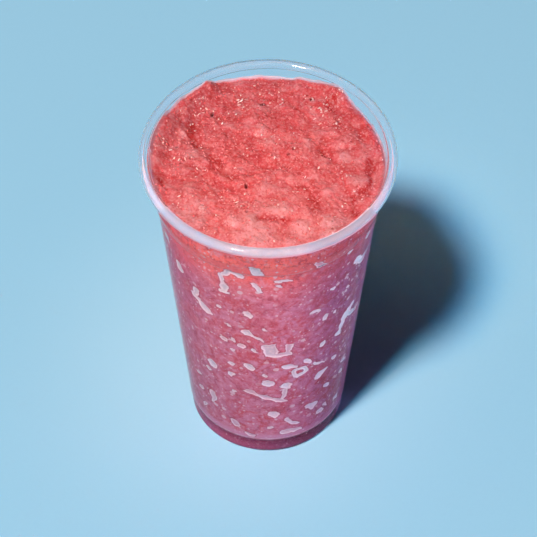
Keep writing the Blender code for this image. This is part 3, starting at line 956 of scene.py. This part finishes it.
def cad_top():
    """A function that gives the packed ice's height at x, y, its facets smoothed away."""
    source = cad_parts["raspado"].data
    corners = [v.co.copy() for v in source.vertices]
    tree = BVHTree.FromPolygons(corners, [tuple(p.vertices) for p in source.polygons])
    reach = 1.4 * MM
    around = [(0.0, 0.0)]
    around += [(reach * math.cos(k * math.pi / 3), reach * math.sin(k * math.pi / 3)) for k in range(6)]
    edge = max(v.xy.length for v in corners if v.z > JOIN_Z + 1.0 * MM) - 0.6 * MM
    down = Vector((0.0, 0.0, -1.0))

    def height(x, y):
        total, hits = 0.0, 0
        for dx, dy in around:
            px, py = x + dx, y + dy
            length = math.hypot(px, py)
            if length > edge:
                px, py = px * edge / length, py * edge / length
            hit = tree.ray_cast(Vector((px, py, CUP_HEIGHT + 0.05)), down)[0]
            if hit is not None:
                total += hit.z
                hits += 1
        return total / hits

    return height


def cuts(x, y, stray_x, stray_y):
    """Cracks, the raised lips on their lit side, and holes, in millimetres (arrays in mm)."""
    cracks = np.zeros(x.shape)
    lips = np.zeros(x.shape)
    for x0, y0, x1, y1, half, drop in CRACKS:
        run, rise = x1 - x0, y1 - y0
        u, v = x + stray_x - x0, y + stray_y - y0
        share = np.clip((u * run + v * rise) / (run * run + rise * rise), 0.0, 1.0)
        away = np.hypot(u - run * share, v - rise * share)
        cracks = np.maximum(cracks, drop * (1.0 - smoothstep(0.42 * away / half)))
        beyond = (u * rise - v * run) / math.hypot(run, rise)
        if rise * TOWARDS_KEY[0] > run * TOWARDS_KEY[1]:
            beyond = -beyond
        lit = smoothstep(0.5 - beyond / LIP_STEP)
        lips = np.maximum(lips, drop * lit * (1.0 - smoothstep(away / LIP_REACH)))
    holes = np.zeros(x.shape)
    for hx, hy, radius, drop in HOLES:
        away = np.hypot(x - hx, y - hy)
        holes = np.maximum(holes, drop * (1.0 - smoothstep(away / radius - 0.25)))
    return cracks, lips, holes


def spread(marks, x, y, core):
    """Strength of round soft marks (x, y, radius, strength) at points of the top, all in mm."""
    total = np.zeros(x.shape)
    for mark_x, mark_y, radius, strength in marks:
        total += strength * (1.0 - smoothstep(np.hypot(x - mark_x, y - mark_y) / radius - core))
    return total


def grains(points, size, offset):
    """Packed round grains: each one's own tone, -1 to 1, and how far a point lies from its edge."""
    shift = Vector((offset, offset, offset))
    tones, insides = [], []
    for p in points:
        distances, centres = noise.voronoi(Vector(p) / size + shift)
        tones.append(noise.noise(centres[0] * 7.3))
        insides.append(distances[1] - distances[0])
    return np.array(tones) * 2.0, np.array(insides)


def crumbs(points):
    """Rounded crumbs with creases between them: height in millimetres, about -1 to 1."""
    total = np.zeros(len(points))
    for step, (size, height) in enumerate(CRUMBS):
        field = noise_field(points, size * MM, 12.0 + 9.0 * step)
        total += height * (3.8 * np.sqrt(field * field + CREASE * CREASE) - 1.5)
    return total


def top_points():
    """Rings of points of the top, and how pale or painted lit, syrupy or painted shaded, pitted, frosty
    and in the rim's painted shadow each is.
    """
    flat = [(0.0, 0.0)]
    radius = collar_inside(TOP_LEVEL) + INTO_WALL
    for ring in range(1, TOP_RINGS + 1):
        count = TOP_SECTORS * ring
        r = radius * ring / TOP_RINGS
        angles = [math.tau * k / count for k in range(count)]
        flat += [(r * math.cos(a), r * math.sin(a)) for a in angles]
    flat = np.array(flat)
    base = cad_top()
    height = np.array([base(x, y) for x, y in flat])
    level = np.column_stack([flat, np.full(len(flat), NOISE_LEVEL)])
    warp = noise_pair(level, 2.6 * MM, 5.0)
    x, y = (flat / MM + WARP * warp).T
    cracks, lips, holes = cuts(x, y, *(CRACK_STRAY * noise_pair(level, 5.5 * MM, 25.0).T))
    bent = level.copy()
    bent[:, :2] += WARP * MM * warp
    grain, grain_inside = grains(bent, GRAIN_SIZE, 7.0)
    swells = noise_field(bent, SWELL_SIZE, 17.0)
    crumbled = crumbs(bent)
    grain_rise = (0.7 + 0.3 * grain) * smoothstep(grain_inside / GRAIN_EDGE)
    relief = SWELL_HEIGHT * swells + crumbled * MM + GRAIN_HEIGHT * (grain_rise - 0.5)
    share = np.hypot(flat[:, 0], flat[:, 1]) / radius
    calm = 1.0 - 0.5 * smoothstep((share - 0.95) / 0.05)
    height = height + relief * calm + (LIP_HEIGHT * lips - CRACK_DEPTH * cracks - holes) * MM
    height += EDGE_LUMP * noise_field(level, 4.5 * MM, 44.0) * smoothstep((share - 0.92) / 0.08)
    direction = np.degrees(np.arctan2(flat[:, 1], flat[:, 0]))
    lifts = np.interp(direction, *np.array(EDGE_LIFTS).T) * MM
    height += lifts * (1.0 - smoothstep((radius - share * radius) / EDGE_LIFT_REACH))
    height = np.minimum(height, EDGE_LIMIT)
    patches = spread(PATCHES, x, y, PATCH_CORE)
    # Syrupy red in cracks, patches and hollows; in the cracks and hollows it is also painted shade
    syrup_and_shade = 0.8 * np.clip(cracks, 0.0, 1.0) + 0.7 * np.clip(patches, 0.0, 1.0)
    syrup_and_shade += 0.7 * np.clip(-0.8 * swells - 0.7 * crumbled - 0.15, 0.0, 1.0)
    # Paler on grains, crests and frosty patches; the crests, the cracks' lit lips and the front are painted
    # light
    pale = 0.05 + 0.30 * grain_rise + 0.5 * np.clip(0.5 * swells + 0.8 * crumbled, -0.5, 1.0)
    pale += 0.25 * lips + 0.45 * np.clip(-patches, 0.0, 1.0) + 0.40 * smoothstep((-y - 5.0) / 30.0)
    at_back = smoothstep((y - 8.0) / 18.0)
    pale += 0.35 * smoothstep((share - 0.965) / 0.02) * at_back
    # Painted shadow of the rim on the ice near the wall, less of it at the back
    edge = smoothstep((share - 0.95) / 0.035) * (1.0 - np.where(x > 0.0, 0.45, 0.8) * at_back)
    # Painted shade towards the back
    pale -= 0.15 * smoothstep((y - 15.0) / 15.0)
    frost = spread(GLINT_CLUSTERS, x, y, CLUSTER_CORE)
    looks = {"pale": pale, "syrup_and_shade": syrup_and_shade, "pit": 0.9 * holes, "frost": frost, "edge": edge}
    return np.column_stack([flat, height]), looks


def ring_start(ring):
    """Index of a ring's first point."""
    return 0 if ring == 0 else 1 + TOP_SECTORS * ring * (ring - 1) // 2


def top_faces():
    """Triangles between neighbouring rings of the top."""
    faces = []
    for ring in range(1, TOP_RINGS + 1):
        outer, inner = ring_start(ring), ring_start(ring - 1)
        outer_count, inner_count = TOP_SECTORS * ring, max(1, TOP_SECTORS * (ring - 1))
        for sector in range(TOP_SECTORS):
            for j in range(ring):
                a = inner + (sector * (ring - 1) + j) % inner_count
                b = outer + (sector * ring + j) % outer_count
                c = outer + (sector * ring + j + 1) % outer_count
                faces.append((a, b, c))
                if j < ring - 1:
                    faces.append((a, c, inner + (sector * (ring - 1) + j + 1) % inner_count))
    return faces


def ice_top(material, side_material):
    """The lumpy top of the ice and its smooth band inside the collar."""
    points, looks = top_points()
    faces = top_faces()
    top_face_count = len(faces)
    count = TOP_SECTORS * TOP_RINGS
    edge = points[-count:].copy()
    angles = np.arctan2(edge[:, 1], edge[:, 0])

    def on_wall(z):
        r = np.array([collar_inside(value) for value in z]) + INTO_WALL
        return np.column_stack([r * np.cos(angles), r * np.sin(angles), z])

    points[-count:, :2] = on_wall(edge[:, 2])[:, :2]
    falls = [(JOIN_Z - edge[:, 2]) * row / BAND_ROWS for row in range(1, BAND_ROWS + 1)]
    band = np.vstack([on_wall(edge[:, 2] + fall) for fall in falls])
    depth, distance, tone = dent(band)
    depth *= smoothstep((edge[:, 2].min() - band[:, 2]) / (1.5 * MM))
    radius = np.hypot(band[:, 0], band[:, 1])
    band[:, :2] *= ((radius - depth) / radius)[:, None]
    rings = rings_from(len(points) - count, count, BAND_ROWS + 1)
    faces += skin(rings) + [tuple(reversed(rings[-1]))]
    item = mesh_object("ice_top", np.vstack([points, band]).tolist(), faces, material)
    item.data.materials.append(side_material)
    index = np.zeros(len(faces), dtype=np.int32)
    index[top_face_count:] = 1
    item.data.polygons.foreach_set("material_index", index)
    item.data.set_sharp_from_angle(angle=math.radians(80))
    for name, values in looks.items():
        store(item, name, np.append(np.clip(values, 0.0, 1.0), np.zeros(len(band))))
    store(item, "pocket_distance", np.append(np.full(len(points), FAR), distance))
    store(item, "pocket_tone", np.append(np.zeros(len(points)), tone))
    return item, angles, edge[:, 2]


def melting_edge(angles, heights, material):
    """A thin wedge of melting ice that clings to the wall above the ice's edge."""
    order = np.argsort(angles)
    turns = math.tau * np.arange(MELT_COLUMNS) / MELT_COLUMNS - math.pi
    foot = np.interp(turns, angles[order], heights[order], period=math.tau) - MELT_DIP
    unit = np.column_stack([np.cos(turns), np.sin(turns), np.zeros(MELT_COLUMNS)])
    round_wall = unit * 45.0 * MM
    ragged = noise_field(round_wall, 9.0 * MM, 52.0) + 0.35 * noise_field(round_wall, 2.5 * MM, 61.0)
    rise = MELT_RISE[0] + (MELT_RISE[1] - MELT_RISE[0]) * smoothstep(0.5 + 0.7 * ragged)
    top = np.minimum(foot + MELT_DIP + rise, CUP_HEIGHT - CURL_HALF_HEIGHT)
    rows, fades = [], []
    shares = np.linspace(0.0, 1.0, MELT_ROWS + 1)
    for side in (0, 1):
        for share in (shares if side == 0 else shares[::-1]):
            z = foot + (top - foot) * share
            wall = np.array([collar_inside(value) for value in z])
            thickness = 0.03 * MM + MELT_THICKNESS * (1.0 - share) ** 1.4
            radius = wall + INTO_WALL if side == 0 else wall - thickness
            rows.append(unit * radius[:, None] + np.column_stack([0 * z, 0 * z, z]))
            fades += [share] * MELT_COLUMNS
    rings = rings_from(0, MELT_COLUMNS, len(rows))
    faces = skin(rings + rings[:1], rising=False)
    item = mesh_object("ice_edge", np.vstack(rows).tolist(), faces, material)
    store(item, "fade", fades)
    return item


# Scattered bits of ice, sown by Geometry Nodes

# They lie above this height, and by this many millimetres off the wall
OPEN_ABOVE = 137.0 * MM
BARE_MARGIN = 0.9


def scatter_tree(name, detail):
    """A node tree that sows small stones of ice on a mesh and turns them into plain mesh."""
    tree = bpy.data.node_groups.new(name, "GeometryNodeTree")
    for label, kind in (("Geometry", "Geometry"), ("Density", "Float"), ("Least Size", "Vector"),
                        ("Most Size", "Vector"), ("Lean", "Float"), ("Lift", "Float"), ("Seed", "Int"),
                        ("Material", "Material")):
        tree.interface.new_socket(label, in_out="INPUT", socket_type="NodeSocket" + kind)
    tree.interface.new_socket("Geometry", in_out="OUTPUT", socket_type="NodeSocketGeometry")
    given = add_node(tree, "NodeGroupInput").outputs

    def made(kind, settings=None, output=0, **inputs):
        return add_node(tree, kind, settings, **inputs).outputs[output]

    def scaled(vector, scale):
        return made("ShaderNodeVectorMath", {"operation": "SCALE"}, Vector=vector, Scale=scale)

    def drawn(least, most):
        return made("FunctionNodeRandomValue", {"data_type": "FLOAT_VECTOR"}, _0=least, _1=most,
                    Seed=given["Seed"])

    sown = made("GeometryNodeInputNamedAttribute", {"data_type": "FLOAT"}, "Attribute", Name="sow")
    density = made("ShaderNodeMath", {"operation": "MULTIPLY"}, _0=given["Density"], _1=sown)
    lift = scaled(made("GeometryNodeInputNormal"), given["Lift"])
    raised = made("GeometryNodeSetPosition", Geometry=given["Geometry"], Offset=lift)
    points = add_node(tree, "GeometryNodeDistributePointsOnFaces", {"distribute_method": "RANDOM"},
                      Mesh=raised, Density=density, Seed=given["Seed"]).outputs
    lean = made("ShaderNodeCombineXYZ", X=given["Lean"], Y=given["Lean"], Z=math.tau)
    turn = made("FunctionNodeEulerToRotation", Euler=drawn(scaled(lean, -1.0), lean))
    turned = made("FunctionNodeRotateRotation", {"rotation_space": "LOCAL"},
                  Rotation=points["Rotation"], Rotate_By=turn)
    stone = made("GeometryNodeMeshIcoSphere", None, "Mesh", Radius=1.0, Subdivisions=detail)
    bits = made("GeometryNodeInstanceOnPoints", Points=points["Points"], Instance=stone, Rotation=turned,
                Scale=drawn(given["Least Size"], given["Most Size"]))
    real = made("GeometryNodeRealizeInstances", Geometry=bits)
    dressed = made("GeometryNodeSetMaterial", Geometry=real, Material=given["Material"])
    add_node(tree, "NodeGroupOutput", Geometry=dressed)
    return tree


def scatter(name, carrier, sow, tree, values):
    """Sow bits on a carrier mesh, more where sow is higher, as one plain mesh."""
    bed = link(bpy.data.objects.new(name + "_bed", carrier.data.copy()))
    store(bed, "sow", sow)
    modifier = bed.modifiers.new("Sow", "NODES")
    modifier.node_group = tree
    for entry in tree.interface.items_tree:
        if entry.in_out == "INPUT" and entry.name in values:
            modifier[entry.identifier] = values[entry.name]
    bpy.context.view_layer.update()
    shown = bed.evaluated_get(bpy.context.evaluated_depsgraph_get())
    mesh = bpy.data.meshes.new_from_object(shown)
    mesh.name = name
    bpy.data.objects.remove(bed, do_unlink=True)
    return link(bpy.data.objects.new(name, mesh))


def crystals(top):
    """Loose bits on the top: rosy grains all over it, and clear glinting flakes in clusters."""
    where = np.empty(3 * len(top.data.vertices))
    top.data.vertices.foreach_get("co", where)
    where = where.reshape(-1, 3)
    x, y = where[:, 0] / MM, where[:, 1] / MM
    inside = np.hypot(x, y) < collar_inside(TOP_LEVEL) / MM - BARE_MARGIN
    open_top = np.where(inside & (where[:, 2] > OPEN_ABOVE), 1.0, 0.0)
    gather = 0.12 + 0.6 * spread(GLINT_CLUSTERS, x, y, CLUSTER_CORE)
    tree = scatter_tree("stones", 1)
    grains = scatter("loose_grains", top, open_top, tree, {
        "Density": 0.14 / (MM * MM), "Least Size": (0.25 * MM, 0.20 * MM, 0.15 * MM),
        "Most Size": (0.75 * MM, 0.55 * MM, 0.35 * MM), "Lean": 0.7, "Lift": 0.0, "Seed": 3,
        "Material": crystal_material("rosy_grains", CORAL, PALE_CORAL, 0.3)})
    flakes = scatter("ice_glints", top, open_top * gather, tree, {
        "Density": 0.08 / (MM * MM), "Least Size": (0.20 * MM, 0.16 * MM, 0.12 * MM),
        "Most Size": (0.85 * MM, 0.46 * MM, 0.32 * MM), "Lean": 0.6, "Lift": 0.30 * MM, "Seed": 8,
        "Material": crystal_material("clear_flakes", GLINT, PALE_GLINT, 0.10)})
    return grains, flakes


# Stage

def floor():
    """A wide plain floor."""
    corners = [(FLOOR_HALF * x, FLOOR_HALF * y, 0.0) for x, y in ((-1, -1), (1, -1), (1, 1), (-1, 1))]
    return mesh_object("floor", corners, [(0, 1, 2, 3)], floor_material())


def lamp(name, kind, towards, middle, distance, energy, colour, **settings):
    """A lamp that shines on a middle point from a direction and a distance."""
    data = bpy.data.lights.new(name, kind)
    data.energy = energy
    data.color = colour
    for key, value in settings.items():
        setattr(data, key, value)
    item = link(bpy.data.objects.new(name, data))
    direction = Vector(towards).normalized()
    item.location = Vector(middle) + direction * distance
    item.rotation_euler = direction.to_track_quat("Z", "Y").to_euler()


def disk(name, towards, distance, size, energy, colour):
    """A round soft lamp that shines on the middle of the cup."""
    lamp(name, "AREA", towards, (0.0, 0.0, 0.5 * CUP_HEIGHT), distance, energy, colour, shape="DISK",
         size=size)


def lamps():
    """A key light in two tones, a reddish pool of light round the cup, and two weak low fills.

    The warm half of the key stands a little further to the left, so that the soft edge of the
    cup's shadow is bluer than the floor.
    """
    disk("key_warm", TOWARDS_KEY_WARM, 4.5, 0.62, 200.0, (0.999, 0.38, 0.10))
    disk("key_cool", TOWARDS_KEY, 4.5, 0.56, 200.0, (0.0, 0.605, 0.863))
    lamp("pool", "SPOT", TOWARDS_KEY, POOL_MIDDLE, 3.0, 120.0, (1.0, 0.44, 0.25), shadow_soft_size=0.04,
         spot_size=math.radians(3.5), spot_blend=1.0)
    disk("right_fill", (0.95, -0.20, -0.028), 1.6, 0.08, 11.0, (0.64, 0.80, 1.0))
    disk("front_fill", (0.60, -0.80, -0.028), 1.6, 0.08, 3.8, (1.0, 0.88, 0.84))


def camera():
    """The camera at the photograph's angle."""
    data = bpy.data.cameras.new("camera")
    data.sensor_width = SENSOR_WIDTH
    data.lens = LENS
    item = link(bpy.data.objects.new("camera", data))
    back = Vector((0.0, -math.cos(VIEW_ELEVATION), math.sin(VIEW_ELEVATION)))
    turn = back.to_track_quat("Z", "Y").to_matrix() @ Matrix.Rotation(VIEW_ROLL, 3, "Z")
    item.matrix_world = Matrix.Translation(VIEW_AIM + back * VIEW_DISTANCE) @ turn.to_4x4()
    bpy.context.scene.camera = item


def surroundings():
    """Faint even light from all round."""
    world = bpy.data.worlds.new("surroundings")
    world.use_nodes = True
    background = world.node_tree.nodes["Background"]
    background.inputs["Color"].default_value = AIR_COLOUR
    background.inputs["Strength"].default_value = AIR_STRENGTH
    bpy.context.scene.world = world


def main():
    """Set the stage and build every piece."""
    floor()
    camera()
    surroundings()
    lamps()
    bpy.context.scene.view_settings.view_transform = "Standard"

    open_ice = ice_top_material()
    pressed = ice_side_material()
    body_plastic = plastic("clear_plastic", PLASTIC_TINT, BODY_SHADE, 1.0, 1.09, 0.25)
    rim_plastic = plastic("rolled_rim", RIM_TINT, RIM_SHADE, 0.96, 1.34, 0.03)
    shell = cup(body_plastic, rim_plastic)
    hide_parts("cup")
    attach(shell, "root")
    # The frost in the rim, which is partly painted sheen
    frost = rim_frost_and_sheen(frost_and_sheen_material())
    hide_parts("cup")
    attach(frost, "root")

    top, edge_angles, edge_heights = ice_top(open_ice, pressed)
    edge = melting_edge(edge_angles, edge_heights, melt_material())
    below = ice_below(pressed)
    grains, flakes = crystals(top)
    for piece in (top, edge, below, grains, flakes):
        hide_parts("raspado")
        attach(piece, "root")


main()
